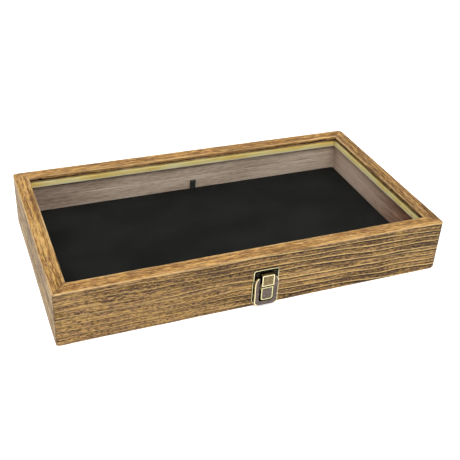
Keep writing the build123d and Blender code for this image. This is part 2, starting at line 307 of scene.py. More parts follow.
def mitred_strip(name, side, corners, body, node, materials, seed, spacing=0.8 * MM,
                 roughness=0.0, ragged=0.0, outside=None, wear=None):
    """One side of a mitred ring: an outline run along the side, cut at 45 degrees at both ends.

    Its points carry "grain" (along, around, seed), "edge" near the outline's corners by the weight given
    for each, partly wear and partly a painted highlight, "stain" along a ragged corner, partly dark stain
    and partly painted shade where the lip meets the glass, and "joint" near the mitres. The "around" is
    a length round the outline, and the seed sets each piece's grain apart."""
    outline, normals, around = square_outline(corners, spacing)
    inset, height = outline[:, 0][None], outline[:, 1][None]
    outward, along = OUTWARD[side], ALONG[side]
    half, reach = (HALF_X, HALF_Y) if side in ("front", "back") else (HALF_Y, HALF_X)
    stations = int(2 * half / STATION)
    share = np.linspace(-1, 1, stations)[:, None]
    run = share * (half - inset - MITRE_GAP)
    around = np.broadcast_to(around[None], run.shape)
    fade = np.clip((half - np.abs(share) * half) / (4 * MM), 0.15, 1)
    lift = roughness * fade * (smooth_noise(seed, run, around, 26 * MM, 3.2 * MM)
                               + 0.6 * smooth_noise(seed + 1, run, around, 9 * MM, 1.3 * MM))
    corner_points = np.array([[c[0], c[1]] for c in corners])
    distance = np.linalg.norm(outline[:, None, :] - corner_points[None], axis=2)
    # Edge brightening, strongest on the lid's top edges: partly wear, partly a painted highlight.
    wear = wear or [1.0 if c[1] > TOP_Z - MM else 0.3 for c in corners]
    ridge = np.max(bump_at(distance, 0, 1.0 * MM) * wear, axis=1)[None]
    # The "stain" values: partly dark stain along the torn lip edge, partly painted shade where the lip meets
    # the glass.
    stain = np.zeros(run.shape)
    if ragged:
        torn = np.clip(smooth_noise(seed + 2, run, around * 0, 9 * MM, 1) * 0.7
                       + smooth_noise(seed + 3, run, around * 0, 1.6 * MM, 1) * 0.6, -0.2, 1)
        from_tear = np.linalg.norm(outline - corner_points[RAGGED_CORNER], axis=1)
        near = bump_at(from_tear, 0, 0.75 * MM)[None]
        wide = bump_at(from_tear, 0, 2.6 * MM)[None]
        lift = lift - ragged * near * np.clip(torn, 0, 1)
        ends = bump_at((1 - np.abs(share)) * half, 16 * MM, 22 * MM)
        stain = np.clip(near * (1.0 + 1.4 * torn) + wide * (0.6 * ends + 0.25 * np.clip(torn, 0, 1)), 0, 1)
    new_inset = inset + lift * normals[:, 0][None]
    z = np.broadcast_to(height + lift * normals[:, 1][None], run.shape)
    x = along[0] * run + outward[0] * (reach - new_inset)
    y = along[1] * run + outward[1] * (reach - new_inset)
    x, y = eased_corner(x, y, CORNER_RADIUS)
    z = z + rubbed_down(x, y, z)
    joint = bump_at((half - new_inset) - np.abs(run), 0, 0.9 * MM) * np.where((x < 0) & (y < 0), 1.0, 0.6)
    verts = np.stack([x, y, z], 2).reshape(-1, 3)
    count = outline.shape[0]
    faces = [(i * count + j, i * count + (j + 1) % count, (i + 1) * count + (j + 1) % count,
              (i + 1) * count + j) for i in range(stations - 1) for j in range(count)]
    caps = [tuple(range(count)), tuple((stations - 1) * count + j for j in reversed(range(count)))]
    piece = new_piece(name, verts, faces + caps, body, (node,))
    grain = np.stack([run, around, np.full(run.shape, seed * 0.37)], 2)
    point_attribute(piece, "grain", grain, "FLOAT_VECTOR")
    point_attribute(piece, "edge", np.broadcast_to(ridge, run.shape))
    point_attribute(piece, "stain", stain)
    point_attribute(piece, "joint", joint)
    for material in materials:
        piece.data.materials.append(material)
    if outside is not None:
        inner = [not outside(*((outline[j] + outline[(j + 1) % count]) / 2)) for j in range(count)]
        index = np.array(inner * (stations - 1) + [True, True], int)
        piece.data.polygons.foreach_set("material_index", index)
    return piece


# ---- materials

RIDGE_PERIOD = 6.2 * MM


def wood_grain(graph, vector, slope, length, waviness):
    """Shared grain of one brushed, burnished board: returns several masks of 0 to 1."""
    sway = graph.noise(vector, (11, 36, 1), detail=2)
    drift = graph.span(sway, 0.2, 0.8, -waviness, waviness)
    drift = graph.node("ShaderNodeCombineXYZ", {"Y": drift}).outputs[0]
    flow = graph.node("ShaderNodeVectorMath", {0: vector, 1: drift}, operation="ADD").outputs[0]
    across, along = graph.split(flow)["Y"], graph.split(vector)["X"]
    lean = graph.times(graph.math("MAXIMUM", along, -0.02), slope)
    turn = graph.times(graph.math("ADD", across, lean), 2 * math.pi / RIDGE_PERIOD)
    broken = graph.noise(flow, (30, 190, 1), (3, 1, 0), detail=3, roughness=0.6)
    rough = graph.noise(flow, (420, 900, 1), (1, 8, 3), detail=2)
    kept = graph.times(graph.span(broken, 0.32, 0.44), graph.span(along, -0.09, 0.05, 0.4, 1.0))
    kept = graph.times(kept, graph.span(rough, 0.30, 0.50, 0.5, 1.0))
    crest = graph.span(graph.math("SINE", turn), 0.80, 0.97)
    under = graph.span(graph.math("SINE", graph.math("ADD", turn, 1.15)), 0.50, 0.90)
    return {
        "ridge": graph.times(crest, kept),
        "groove": graph.times(under, kept),
        "lines": graph.noise(flow, (26 * length, 620, 1), detail=4, roughness=0.7),
        "fibre": graph.noise(flow, (240 * length, 1000, 1), detail=3, roughness=0.7),
        "flecks": graph.noise(flow, (260 * length, 760, 1), (0, 5, 2), detail=3, roughness=0.7),
        "patch": graph.noise(flow, (15, 80, 1), (7, 2, 4), detail=3, roughness=0.6),
        "hue": graph.noise(flow, (90, 300, 1), (4, 4, 9), detail=2),
    }


def stained_wood(name, deep, dark, middle, light, contrast=1.5, ridges=1.0, flecks=1.0, slope=0.04,
                 length=1.0, waviness=0.0022, calm=False):
    """Burnished stained wood with raised bright ridges, dark flecks and lighter edges, partly wear and partly
    a painted highlight.

    A calm board has quieter, lighter grain near its left end."""
    graph = Graph(name)
    vector = graph.attribute("grain", "Vector")
    masks = wood_grain(graph, vector, slope, length, waviness)
    tone = graph.weighted((masks["lines"], 0.36), (masks["fibre"], 0.42), (masks["patch"], 0.22))
    spread = 0.115 / contrast
    tone = graph.span(tone, 0.5 - spread, 0.5 + spread)
    if calm:
        still = graph.times(graph.span(graph.split(vector)["X"], -0.02, -0.08),
                            graph.span(masks["patch"], 0.62, 0.4))
        tone = graph.math("ADD", graph.times(tone, graph.span(still, 0, 1, 1, 0.45)),
                          graph.times(still, 0.60))
    colour = graph.ramp(tone, [(0.0, dark), (0.5, middle), (1.0, light)])
    greyed = graph.mix(graph.span(masks["hue"], 0.46, 0.62, 0.0, 0.32), colour, rgb(116, 88, 72))
    colour = graph.mix(graph.span(masks["hue"], 0.50, 0.36, 0.0, 0.28), greyed, rgb(168, 134, 58))
    fleck = graph.span(masks["flecks"], 0.52, 0.60)
    fleck = graph.times(fleck, graph.span(masks["patch"], 0.68, 0.36, 0.35, 1.0))
    colour = graph.mix(graph.times(fleck, 0.85 * flecks), colour, deep)
    colour = graph.mix(graph.times(masks["groove"], 0.85 * ridges), colour, deep)
    colour = graph.mix(graph.times(masks["ridge"], 0.85 * ridges), colour, rgb(226, 190, 122))
    # Lighter eased edges: partly wear, partly a painted highlight on the lid's top edges.
    worn = graph.times(graph.attribute("edge"), graph.span(masks["lines"], 0.36, 0.56))
    colour = graph.mix(graph.times(worn, 0.8), colour, rgb(226, 192, 138))
    dark_joint = graph.times(graph.span(graph.attribute("joint"), 0.45, 0.95),
                             graph.span(masks["fibre"], 0.35, 0.5, 0.3, 0.75))
    colour = graph.mix(dark_joint, colour, rgb(58, 38, 22))
    # A near-black ragged line at the lip: partly dark stain, partly painted shade where the lip meets the
    # glass.
    torn = graph.math("ADD", graph.attribute("stain"), graph.span(masks["flecks"], 0.35, 0.60, -0.22, 0.22))
    colour = graph.mix(graph.span(torn, 0.34, 0.62), colour, rgb(20, 11, 5))
    height = graph.weighted((masks["ridge"], 0.7), (masks["lines"], 0.6), (fleck, -0.6))
    return graph.finish(Base_Color=colour, Roughness=graph.span(masks["lines"], 0.3, 0.7, 0.50, 0.68),
                        Specular_IOR_Level=0.16, Normal=graph.bump(height, 0.0006, 1.0))


def top_wood(name, *tones, flecks=0.6, length=0.5, waviness=0.0008):
    """The lid's top and lip: warmer and straighter, with few ridges."""
    return stained_wood(name, *tones, contrast=1.4, ridges=0.3, flecks=flecks, slope=0.0, length=length,
                        waviness=waviness)


def lining_wood(name, dark, middle, light, back=None):
    """The greyer, flatter stain inside the case, with fine straight grain.

    It is painted paler towards the back where that tone is given, as painted light, and otherwise painted
    darker towards the left, as painted shade."""
    graph = Graph(name)
    vector = graph.attribute("grain", "Vector")
    fibre = graph.noise(vector, (24, 900, 1), detail=4, roughness=0.62)
    dashes = graph.noise(vector, (120, 1100, 1), (2, 1, 0), detail=2)
    patch = graph.noise(vector, (12, 70, 1), detail=3)
    tone = graph.weighted((fibre, 0.4), (patch, 0.3), (dashes, 0.3))
    stretched = graph.span(tone, 0.38, 0.62)
    colour = graph.ramp(stretched, [(0.0, dark), (0.5, middle), (1.0, light)])
    place = graph.split(graph.place())
    if back is not None:
        # Painted light: the side linings grow paler towards the back.
        painted_back_light = graph.ramp(stretched, [(0.0, darker(back, 0.8)), (1.0, back)])
        colour = graph.mix(graph.span(place["Y"], -0.07, 0.06), colour, painted_back_light)
    else:
        # Painted shade: the linings are darkened towards their left end.
        painted_left_shade = graph.times(graph.span(place["X"], -0.06, -0.18, 0.0, 0.75),
                          graph.span(tone, 0.35, 0.6, 1, 0.6))
        colour = graph.mix(painted_left_shade, colour, rgb(118, 88, 80))
    glued = graph.span(graph.attribute("joint"), 0.05, 0.45, 0.0, 0.85)
    colour = graph.mix(glued, colour, rgb(246, 230, 206))
    return graph.finish(Base_Color=colour, Roughness=graph.span(fibre, 0.3, 0.7, 0.6, 0.75),
                        Specular_IOR_Level=0.3, Normal=graph.bump(fibre, 0.0002, 0.6))


def raw_wood(name):
    """Unfinished pale wood: fine grain, a few orange streaks and small knots, and a painted highlight along
    an edge.
    """
    graph = Graph(name)
    vector = graph.attribute("grain", "Vector")
    fibre = graph.noise(vector, (30, 1900, 1), detail=3, roughness=0.6)
    patch = graph.noise(vector, (26, 90, 1), (5, 3, 1), detail=2)
    tone = graph.weighted((fibre, 0.45), (patch, 0.55))
    colour = graph.ramp(graph.span(tone, 0.34, 0.66),
                        [(0.0, rgb(244, 204, 112)), (0.5, rgb(255, 230, 144)), (1.0, rgb(255, 242, 186))])
    knot = graph.noise(vector, (45, 130, 1), (2, 9, 3), detail=1)
    colour = graph.mix(graph.span(knot, 0.70, 0.80, 0.0, 0.8), colour, rgb(168, 104, 44))
    # Painted highlight: a near-white line where light catches the bead's lower edge.
    colour = graph.mix(graph.span(graph.attribute("edge"), 0.25, 0.7, 0.0, 0.85), colour, rgb(255, 250, 226))
    return graph.finish(Base_Color=colour, Roughness=graph.span(fibre, 0.3, 0.7, 0.62, 0.8),
                        Normal=graph.bump(fibre, 0.00012, 0.5))


def panel_board(name):
    """Thin brown fibreboard, seen from below: mottled, with scattered chips."""
    graph = Graph(name)
    vector = graph.place()
    mottle = graph.noise(vector, (260, 260, 260), detail=5, roughness=0.75)
    cloud = graph.noise(vector, (18, 18, 18), detail=3)
    tone = graph.weighted((mottle, 0.6), (cloud, 0.4))
    colour = graph.ramp(graph.span(tone, 0.36, 0.64),
                        [(0.0, rgb(98, 70, 44)), (0.5, rgb(134, 100, 66)), (1.0, rgb(166, 130, 90))])
    return graph.finish(Base_Color=colour, Roughness=graph.span(mottle, 0.3, 0.7, 0.7, 0.85),
                        Normal=graph.bump(mottle, 0.0001, 0.5))


def velvet(name):
    """Black short-pile velvet: tiny pile, brushed patches, a faint sheen."""
    graph = Graph(name)
    vector = graph.place()
    pile = graph.noise(vector, (3400, 3400, 3400), detail=2, roughness=0.7)
    brushed = graph.noise(vector, (16, 26, 16), detail=3)
    tone = graph.weighted((pile, 0.5), (brushed, 0.5))
    colour = graph.ramp(graph.span(tone, 0.35, 0.65),
                        [(0.0, (0.0088, 0.0088, 0.0084, 1)), (0.5, (0.0122, 0.0122, 0.0117, 1)),
                         (1.0, (0.0160, 0.0160, 0.0152, 1))])
    return graph.finish(Base_Color=colour, Roughness=graph.span(pile, 0.3, 0.7, 0.86, 0.98),
                        Sheen_Weight=0.015, Sheen_Roughness=0.5, Specular_IOR_Level=0.05,
                        Normal=graph.bump(pile, 0.00005, 0.15))


def ribbon_weave(name):
    """Black grosgrain ribbon: cross ribs and fine threads."""
    graph = Graph(name)
    vector = graph.attribute("grain", "Vector")
    rib_period = 0.7 * MM
    ribs = graph.math("SINE", graph.times(graph.split(vector)["X"], 2 * math.pi / rib_period))
    threads = graph.noise(vector, (3000, 1500, 1), detail=2)
    tone = graph.weighted((graph.span(ribs, -1, 1), 0.6), (threads, 0.4))
    colour = graph.ramp(tone, [(0.0, (0.006, 0.006, 0.006, 1)), (1.0, (0.035, 0.034, 0.033, 1))])
    return graph.finish(Base_Color=colour, Roughness=graph.span(threads, 0.3, 0.7, 0.5, 0.7),
                        Sheen_Weight=0.2, Normal=graph.bump(tone, 0.00012, 0.8))


def antique_brass(name, recess, rim, use_wear=True):
    """Darkened brass, mottled and scratched: bright where "wear", or else chance, has rubbed it; "wear" is
    also kept low as painted shade on shaded sides and parts.
    """
    graph = Graph(name)
    vector = graph.place()
    mottle = graph.noise(vector, (420, 420, 420), detail=4, roughness=0.65)
    scratch = graph.noise(vector, (2600, 2600, 300), detail=2)
    shade = graph.ramp(graph.span(mottle, 0.35, 0.65), [(0.0, darker(recess, 0.55)), (1.0, recess)])
    if use_wear:
        worn = graph.span(graph.weighted((graph.attribute("wear"), 1.0), (mottle, 0.5)), 0.62, 1.0)
    else:
        worn = graph.span(mottle, 0.52, 0.75, 0.0, 0.6)
    colour = graph.mix(worn, shade, rim)
    rough = graph.weighted((graph.span(scratch, 0.3, 0.7, 0.34, 0.49), 1.0), (worn, -0.12))
    height = graph.weighted((mottle, 0.6), (scratch, 0.3))
    return graph.finish(Base_Color=colour, Metallic=1.0, Roughness=rough,
                        Normal=graph.bump(height, 0.00006, 0.5))


def wire_steel(name):
    """Bright drawn wire with a little tarnish."""
    graph = Graph(name)
    vector = graph.place()
    tarnish = graph.noise(vector, (900, 900, 900), detail=3)
    colour = graph.ramp(graph.span(tarnish, 0.35, 0.7),
                        [(0.0, rgb(176, 174, 170)), (1.0, rgb(120, 112, 104))])
    return graph.finish(Base_Color=colour, Metallic=1.0, Roughness=graph.span(tarnish, 0.3, 0.7, 0.28, 0.5),
                        Normal=graph.bump(tarnish, 0.00003, 0.4))


def clear_pane(name):
    """Clear flat glass: a faint tint, a mirror that comes in at low angles, and light fingermarks."""
    graph = Graph(name)
    tree = graph.tree
    vector = graph.place()
    facing = graph.node("ShaderNodeLayerWeight", {"Blend": 0.5}).outputs["Facing"]
    mirror = graph.span(facing, 0.55, 1.0, 0.0, 0.2)
    smear = graph.noise(vector, (30, 45, 30), detail=4, roughness=0.6)
    through = graph.node("ShaderNodeBsdfTransparent", {"Color": (0.975, 0.985, 0.98, 1)}).outputs[0]
    tree.nodes.remove(graph.shader)
    blurred = graph.span(smear, 0.4, 0.7, 0.0, 0.05)
    gloss = graph.node("ShaderNodeBsdfGlossy", {"Color": (1, 1, 1, 1), "Roughness": blurred}).outputs[0]
    pane = graph.node("ShaderNodeMixShader", {0: mirror, 1: through, 2: gloss}).outputs[0]
    tree.links.new(pane, graph.output.inputs["Surface"])
    return graph.material


# ---- woodwork

FRONT_WOOD = stained_wood("front_stained_wood", rgb(24, 14, 10), rgb(60, 41, 26), rgb(108, 80, 48),
                          rgb(178, 141, 88))
FRONT_LOW_WOOD = stained_wood("front_low_stained_wood", rgb(26, 16, 10), rgb(66, 45, 28), rgb(120, 89, 53),
                              rgb(186, 148, 93), calm=True)
TOP_WOOD = top_wood("top_stained_wood", rgb(78, 46, 20), rgb(134, 92, 46), rgb(186, 136, 76),
                    rgb(230, 184, 116))
LEFT_TOP_WOOD = top_wood("left_top_stained_wood", rgb(66, 38, 16), rgb(118, 80, 38), rgb(170, 124, 66),
                         rgb(218, 174, 106), length=0.4, waviness=0.0005)
DARK_TOP_WOOD = top_wood("dark_top_stained_wood", rgb(56, 32, 14), rgb(104, 70, 36), rgb(148, 108, 60),
                         rgb(204, 160, 100), flecks=0.7)
SIDE_WOOD = stained_wood("side_stained_wood", rgb(54, 34, 18), rgb(88, 62, 38), rgb(136, 108, 74),
                         rgb(194, 166, 124), contrast=2.6, ridges=0.6, flecks=0.8, slope=0.02, length=0.3)
LINING = lining_wood("grey_lining_wood", rgb(178, 154, 136), rgb(214, 190, 170), rgb(234, 214, 196))
# Its back tone is painted light: the side linings are painted paler towards the back.
END_LINING = lining_wood("brown_lining_wood", rgb(112, 74, 58), rgb(154, 108, 86), rgb(180, 138, 114),
                         back=rgb(228, 200, 182))
RAW = raw_wood("raw_pale_wood")
SMALL_EASE, TOP_EASE = 0.5 * MM, 0.8 * MM
REBATE_CLEARANCE = 0.15 * MM
STAINED_RIM = 0.75 * WALL


def lid_rails():
    corners = [(0, LID_Z, SMALL_EASE), (0, TOP_Z, TOP_EASE), (LIP, TOP_Z, 0.7 * MM),
               (LIP, GLASS_TOP, 0.3 * MM), (WALL, GLASS_TOP, 0), (WALL, LID_Z, SMALL_EASE)]
    on_top = lambda inset, z: z > TOP_Z - 0.9 * MM or (inset > WALL and z > GLASS_TOP)
    rim = lambda inset, z: z < LID_Z + SMALL_EASE and inset < STAINED_RIM
    outside = lambda inset, z: inset < SMALL_EASE or on_top(inset, z) or rim(inset, z)
    for i, (side, top) in enumerate(zip(SIDES, (TOP_WOOD, DARK_TOP_WOOD, TOP_WOOD, LEFT_TOP_WOOD))):
        face = FRONT_WOOD if side in ("front", "back") else SIDE_WOOD
        rail = mitred_strip(f"lid_{side}_rail_wood", side, corners, "lid", f"lid_{side}_rail",
                            [face, LINING if face is FRONT_WOOD else END_LINING, top], seed=11 + 7 * i,
                            roughness=0.10 * MM, ragged=0.9 * MM, outside=outside)
        paint_top(rail)


def paint_top(rail):
    """Give the lid's top and lip their own, warmer stain."""
    mesh = rail.data
    for polygon in mesh.polygons:
        if polygon.material_index == 0 and polygon.center.z > TOP_Z - 0.5 * MM:
            polygon.material_index = 2
        elif polygon.material_index == 0 and polygon.center.z > GLASS_TOP - 1 * MM:
            inset = min(HALF_X - abs(polygon.center.x), HALF_Y - abs(polygon.center.y))
            if inset > WALL:
                polygon.material_index = 2


def case_walls():
    rebate = PANEL_INSET - REBATE_CLEARANCE
    corners = [(0, 0, SMALL_EASE), (0, CASE_Z, SMALL_EASE), (WALL, CASE_Z, SMALL_EASE),
               (WALL, PANEL_TOP, 0), (rebate, PANEL_TOP, 0), (rebate, 0, 0)]
    outside = lambda inset, z: inset < SMALL_EASE or (z > CASE_Z - SMALL_EASE and inset < STAINED_RIM)
    for i, side in enumerate(SIDES):
        face = FRONT_LOW_WOOD if side in ("front", "back") else SIDE_WOOD
        mitred_strip(f"case_{side}_wall_wood", side, corners, "case", f"case_{side}_wall",
                     [face, END_LINING if face is SIDE_WOOD else LINING], seed=51 + 7 * i,
                     roughness=0.10 * MM, outside=outside)


def glass_beads():
    inner = WALL + BEAD
    corners = [(WALL, BEAD_BOTTOM, 0), (WALL, GLASS_BOTTOM, 0), (inner, GLASS_BOTTOM, 0.3 * MM),
               (inner, BEAD_BOTTOM, 0.5 * MM)]
    for i, side in enumerate(SIDES):
        # The wear list paints a highlight along the bead's lower inner edge.
        mitred_strip(f"glass_bead_{side}_wood", side, corners, "lid", f"glass_bead_{side}",
                     [RAW], seed=91 + 7 * i, spacing=0.6 * MM, roughness=0.03 * MM, wear=[0, 0, 0.2, 1.6])


# ---- pad and pull tab

def velvet_pad():
    """A padded board: a crowned top that rolls over its edges and tucks in underneath."""
    low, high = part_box("pad_cover")
    half_x, half_y = high.x, high.y
    roll, corner, crown = 2.2 * MM, 3.0 * MM, 0.7 * MM
    shoulder = high.z - roll

    def edge_spaced(half, count):
        share = np.linspace(-1, 1, count)
        return half * np.sin(share * math.pi / 2) * 0.35 + half * share * 0.65

    inner_x = edge_spaced(half_x - roll, 150)
    inner_y = edge_spaced(half_y - roll, 84)
    roll_steps = 5
    rolled = [roll * (1 - math.cos(math.pi / 2 * k / roll_steps)) for k in range(roll_steps)]
    xs = np.concatenate([[-half_x + r for r in rolled], inner_x, [half_x - r for r in reversed(rolled)]])
    ys = np.concatenate([[-half_y + r for r in rolled], inner_y, [half_y - r for r in reversed(rolled)]])
    x, y = np.meshgrid(xs, ys, indexing="ij")
    dx, dy = corner - (half_x - np.abs(x)), corner - (half_y - np.abs(y))
    reach = np.maximum(np.hypot(dx, dy), 1e-9)
    in_corner = (dx > 0) & (dy > 0)
    share = np.where(in_corner, np.maximum(dx, dy) / reach, 1)
    px = np.where(in_corner, np.sign(x) * (half_x - corner + dx * share), x)
    py = np.where(in_corner, np.sign(y) * (half_y - corner + dy * share), y)
    depth = np.minimum(half_x - np.abs(x), half_y - np.abs(y))
    fall = np.clip((roll - depth) / roll, 0, 1)
    z = shoulder + roll * np.sqrt(1 - fall ** 2)
    z = z + crown * (1 - np.exp(-np.maximum(depth - roll, 0) / (16 * MM)))
    z = z + 0.07 * MM * smooth_noise(5, x, y, 34 * MM, 26 * MM) * (1 - fall)
    nx, ny = x.shape
    verts = list(np.stack([px, py, z], 2).reshape(-1, 3))
    faces = [(i * ny + j, (i + 1) * ny + j, (i + 1) * ny + j + 1, i * ny + j + 1)
             for i in range(nx - 1) for j in range(ny - 1)]
    rim = ([i * ny for i in range(nx)] + [(nx - 1) * ny + j for j in range(1, ny)]
           + [i * ny + ny - 1 for i in range(nx - 2, -1, -1)] + [j for j in range(ny - 2, 0, -1)])
    loop = rim
    # Down the side and in underneath: the share of the way down, and mm inwards.
    for drop, tuck in ((0.4, 0), (0.85, 0.15), (1.0, 1.0)):
        start = len(verts)
        for index in rim:
            vx, vy = verts[index][:2]
            pull = 1 - tuck * MM / half_y
            verts.append((vx * pull, vy * pull, shoulder + (low.z - shoulder) * drop))
        ring = list(range(start, start + len(rim)))
        faces += [(loop[k - 1], ring[k - 1], ring[k], loop[k]) for k in range(len(rim))]
        loop = ring
    faces.append(tuple(loop))
    pad = new_piece("velvet_pad", verts, faces, "pad", ("pad_cover", "pad_foam"), CLOTH_CREASE)
    pad.data.materials.append(velvet("black_velvet"))


def pull_tab():
    """A folded ribbon that stands up behind the pad's back edge."""
    low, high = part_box("pad_pull_tab")
    middle_x, back_y = (low.x + high.x) / 2, high.y
    half_width, thickness = (high.x - low.x) / 2, 0.35 * MM
    foot, top = low.z, high.z
    gap = (high.y - low.y) / 2 - thickness / 2
    centre_y = (low.y + high.y) / 2
    bulge, lean, opens_from, leg_steps, fold_steps = 1.15 * MM, 0.9 * MM, 0.45, 14, 8

    def leg(share, side):
        opened = max(0, share - opens_from) ** 2 / (1 - opens_from) ** 2
        spread = gap + (bulge - gap) * opened
        return min(centre_y + side * spread - lean * share, back_y), foot + (top - bulge - foot) * share

    turns = [math.pi * k / fold_steps for k in range(1, fold_steps)]
    path = [leg(k / leg_steps, -1) for k in range(leg_steps + 1)]
    path += [(centre_y - lean - bulge * math.cos(t), top - bulge + bulge * math.sin(t)) for t in turns]
    path += [leg(k / leg_steps, 1) for k in range(leg_steps, -1, -1)]
    path = np.array(path)
    tangent = np.gradient(path, axis=0)
    tangent /= np.linalg.norm(tangent, axis=1)[:, None]
    normal = np.stack([-tangent[:, 1], tangent[:, 0]], 1)
    lengths = np.concatenate([[0], np.cumsum(np.linalg.norm(np.diff(path, axis=0), axis=1))])
    across = np.linspace(-1, 1, 13)
    verts, grain = [], []
    for layer in (-0.5, 0.5):
        for place, out, run in zip(path, normal, lengths):
            for share in across:
                edge = 1 - 0.6 * max(0, abs(share) - 0.85) / 0.15
                spot = place + out * layer * thickness * edge
                waist = half_width * (0.96 - 0.14 * math.sin(math.pi * run / lengths[-1]))
                verts.append((middle_x + share * waist, spot[0], spot[1]))
                grain.append((run, share * half_width, 0))
    rows, columns = len(path), len(across)
    per_layer = rows * columns
    faces = []
    for i in range(rows - 1):
        for j in range(columns - 1):
            a = i * columns + j
            faces.append((a, a + 1, a + columns + 1, a + columns))
            faces.append(tuple(per_layer + v for v in (a + columns, a + columns + 1, a + 1, a)))
        for j in (0, columns - 1):
            a = i * columns + j
            faces.append((a, a + columns, a + columns + per_layer, a + per_layer))
    for i in (0, rows - 1):
        for j in range(columns - 1):
            a = i * columns + j
            faces.append((a, a + 1, a + 1 + per_layer, a + per_layer))
    tab = new_piece("ribbon_pull_tab", verts, faces, "pad", ("pad_pull_tab",), CLOTH_CREASE)
    point_attribute(tab, "grain", grain, "FLOAT_VECTOR")
    tab.data.materials.append(ribbon_weave("black_grosgrain"))


# ---- metalwork

base_low, base_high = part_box("latch_base")
strike_low, strike_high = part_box("strike_plate")
lever_low, lever_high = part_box("latch_lever")
link_low, link_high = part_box("latch_link")
LATCH_X = (base_low.x + base_high.x) / 2
BASE_HALF = (base_high.x - base_low.x) / 2
STRIKE_HALF = (strike_high.x - strike_low.x) / 2
CHEEK_FACE = -HALF_Y - base_low.y
LEVER_FACE_OUT = -HALF_Y - lever_low.y
LINK_FACE_OUT = -HALF_Y - link_low.y
LEVER_HALF = (lever_high.x - lever_low.x) / 2
ARM_OUTER = (link_high.x - link_low.x) / 2
PLATE, SHEET = 0.8 * MM, 0.8 * MM
CHEEK_INNER, CHEEK_OUTER = 7.1 * MM, 11.5 * MM
CHEEK_FOOT, CHEEK_SHOULDER = 4.0 * MM, 3.6 * MM
SILL_TOP, SILL_CORNER = 6.2 * MM, 2.5 * MM
CATCH_HALF, CATCH_LOW, CATCH_HIGH = 3.5 * MM, 32.7 * MM, 34.1 * MM
LINK_HALF, LINK_BOTTOM, LINK_SHEET = ARM_OUTER - 0.85 * MM, 23.6 * MM, 0.9 * MM
LINK_SHIFT = 0.4 * MM
LEVER_TOP = 22.1 * MM
BASE_ROUND, STRIKE_ROUND, LEVER_ROUND, LINK_ROUND = 5.5 * MM, 2.6 * MM, 2.4 * MM, 1.0 * MM
NEAR_SQUARE, METAL_EASE = 0.3 * MM, 0.12 * MM
ARC_STEPS = 6

PLATE_BRASS = antique_brass("plate_brass", rgb(40, 40, 28), rgb(236, 230, 184))
CHEEK_BRASS = antique_brass("cheek_brass", rgb(112, 100, 94), rgb(240, 228, 180))
LINK_BRASS = antique_brass("link_brass", rgb(136, 120, 84), rgb(238, 226, 180))
LEVER_BRASS = antique_brass("lever_brass", rgb(112, 100, 92), rgb(222, 216, 160))
INNER_BRASS = antique_brass("inner_brass", rgb(70, 64, 44), rgb(190, 178, 122), use_wear=False)
HINGE_BRASS = antique_brass("hinge_brass", rgb(116, 100, 62), rgb(210, 192, 132), use_wear=False)
SCREW_BRASS = antique_brass("screw_brass", rgb(44, 42, 34), rgb(150, 140, 104), use_wear=False)


def rounded_rectangle(x, z, radii, inset):
    """Points round a rectangle with its own radius in each corner, from the lower left anticlockwise."""
    corners = [(x[0], z[0], 1, 1, 180), (x[1], z[0], -1, 1, 270), (x[1], z[1], -1, -1, 0),
               (x[0], z[1], 1, -1, 90)]
    points = []
    for (cx, cz, sx, sz, start), radius in zip(corners, radii):
        bend = max(radius - inset, 0.05 * MM)
        ox, oz = cx + sx * (inset + bend), cz + sz * (inset + bend)
        for k in range(ARC_STEPS + 1):
            turn = math.radians(start + 90 * k / ARC_STEPS)
            points.append((ox + bend * math.cos(turn), oz + bend * math.sin(turn)))
    return points


def ringed_plate(outline_at, levels):
    """A plate on the front face, from rings at (inset, outwards, wear); its ends are closed."""
    verts, wear, faces = [], [], []
    for inset, out, rubbed in levels:
        ring = outline_at(inset)
        verts += [(LATCH_X + px, -HALF_Y - out, pz) for px, pz in ring]
        wear += [rubbed] * len(ring)
    count = len(verts) // len(levels)
    for level in range(len(levels) - 1):
        a, b = level * count, (level + 1) * count
        faces += [(a + k, a + (k + 1) % count, b + (k + 1) % count, b + k) for k in range(count)]
    faces.append(tuple(range(count)))
    faces.append(tuple(range(len(verts) - count, len(verts))))
    return verts, faces, wear


def pressed_plate(x, z, low_radius, high_radius, levels):
    radii = (low_radius, low_radius, high_radius, high_radius)
    return ringed_plate(lambda inset: rounded_rectangle(x, z, radii, inset), levels)


def rimmed(base_out, top_out, rim=0.7 * MM, dish=0.22 * MM, ease=0.18 * MM):
    """Ring levels for a plate whose face is dished inside a bright rim."""
    return [(0, base_out, 0.25), (0, top_out - ease, 0.75), (ease * 0.3, top_out - ease * 0.3, 1.0),
            (ease, top_out, 1.0), (rim * 0.75, top_out, 0.95), (rim, top_out - dish * 0.3, 0.7),
            (rim + 0.15 * MM, top_out - dish * 0.85, 0.2), (rim + 0.4 * MM, top_out - dish, 0.0)]


def eased_mesh(bm, edges, clamp_overlap=False):
    """Ease these edges, then read the mesh back as points and faces."""
    bmesh.ops.bevel(bm, geom=edges, offset=METAL_EASE, segments=2, profile=0.5, affect="EDGES",
                    clamp_overlap=clamp_overlap)
    bm.verts.index_update()
    verts = [tuple(v.co) for v in bm.verts]
    faces = [tuple(v.index for v in f.verts) for f in bm.faces]
    bm.free()
    return verts, faces


def bevelled_prism(outline, x, rubbed=0.45):
    """A plate across X from an outline of (outwards, height) points, with eased edges."""
    bm = bmesh.new()
    rings = [[bm.verts.new((LATCH_X + place, -HALF_Y - out, height)) for out, height in outline]
             for place in x]
    bm.faces.new(rings[0])
    bm.faces.new(rings[1])
    count = len(outline)
    for k in range(count):
        bm.faces.new((rings[0][k], rings[0][(k + 1) % count], rings[1][(k + 1) % count], rings[1][k]))
    bmesh.ops.recalc_face_normals(bm, faces=bm.faces)
    verts, faces = eased_mesh(bm, list(bm.edges))
    return verts, faces, [rubbed] * len(verts)


